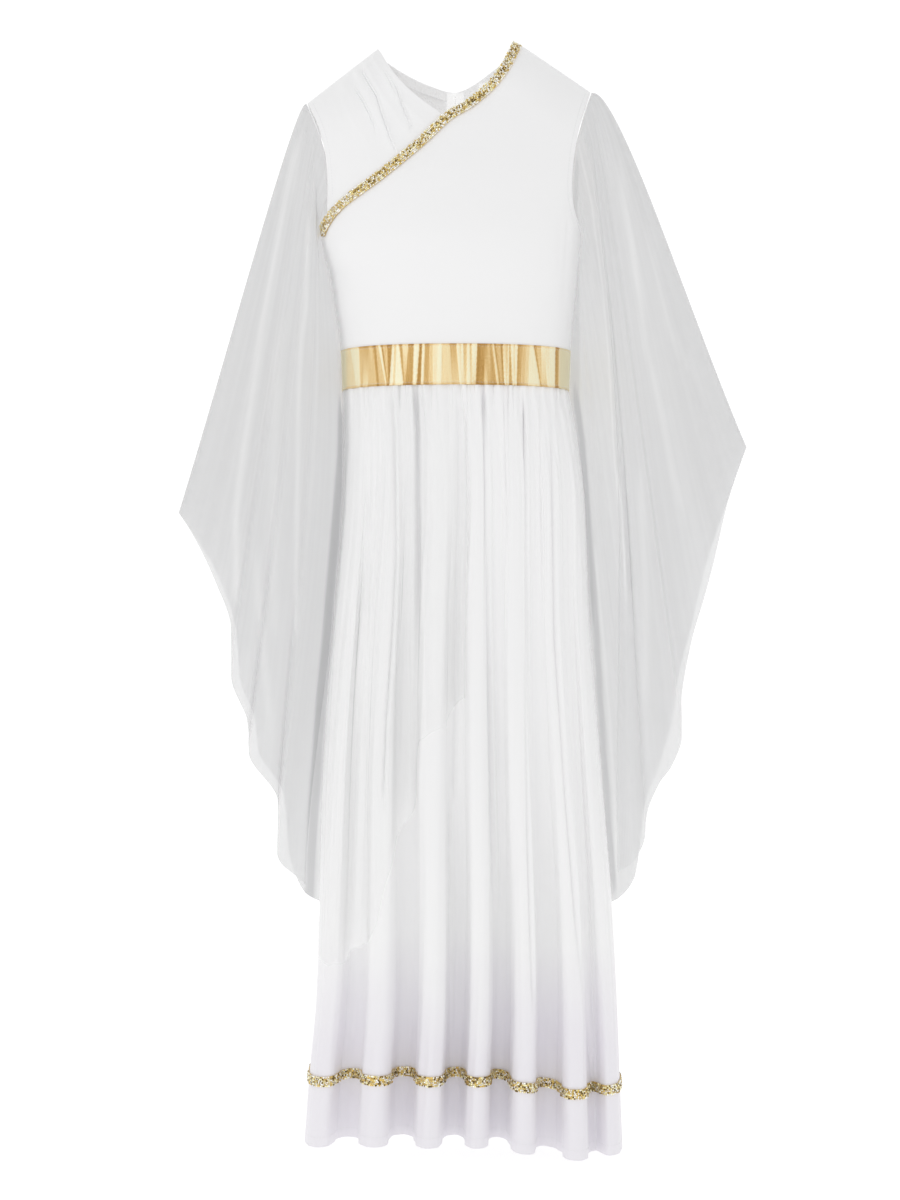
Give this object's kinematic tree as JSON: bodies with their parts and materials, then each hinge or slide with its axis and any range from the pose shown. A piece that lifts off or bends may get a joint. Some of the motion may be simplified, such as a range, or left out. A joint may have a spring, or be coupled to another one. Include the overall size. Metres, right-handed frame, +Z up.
{
  "type": "roman toga costume",
  "caption": "Floor-length satin dress with a braided slanting neckline, long sheer drape sleeves, a foil belt and a pleated skirt",
  "frame": {"origin": "midway between the two shoulder seams at the neck, at shoulder height, where the shoulders carry the dress", "axes": "+Z up, +X toward the wearer's left, -Y toward the front of the dress"},
  "size_m": [0.7082, 0.2405, 1.372],
  "materials": {
    "satin": "white polyester satin with a soft sheen, faintly lavender toward the hem",
    "chiffon": "sheer white chiffon, matte and see-through",
    "braid": "gold braid of small bead cells in rows, with dark and bright specks",
    "foil": "metallic gold foil cloth with fine upright crinkles",
    "tape": "white woven zip tape",
    "label": "blank white woven ribbon",
    "zip_metal": "white enamelled zip slider and tab"
  },
  "bodies": {
    "dress": {"bodice_front": "satin", "shoulder_panel": "satin", "bodice_back_left": "satin", "bodice_back_right": "satin", "belt_front": "foil", "belt_back_left": "foil", "belt_back_right": "foil", "skirt_front": "satin", "skirt_back_left": "satin", "skirt_back_right": "satin", "overlay_drape": "chiffon", "slant_braid": "braid", "hem_braid_front": "braid", "hem_braid_back": "braid", "sleeve_left": "chiffon", "sleeve_right": "chiffon", "neck_facing_left": "satin", "neck_facing_right": "satin", "zip_tape_left": "tape", "zip_tape_right": "tape", "neck_label": "label", "zip_slider": "zip_metal"},
    "tab": {"pull_tab": "zip_metal"}
  },
  "joints": [
    {"name": "pull_tab_hinge", "type": "hinge", "parent": "dress", "child": "tab", "pos_m": [0.007, 0.10081, -0.0114], "axis": [1, 0, 0], "range_deg": [0, 150]}
  ]
}
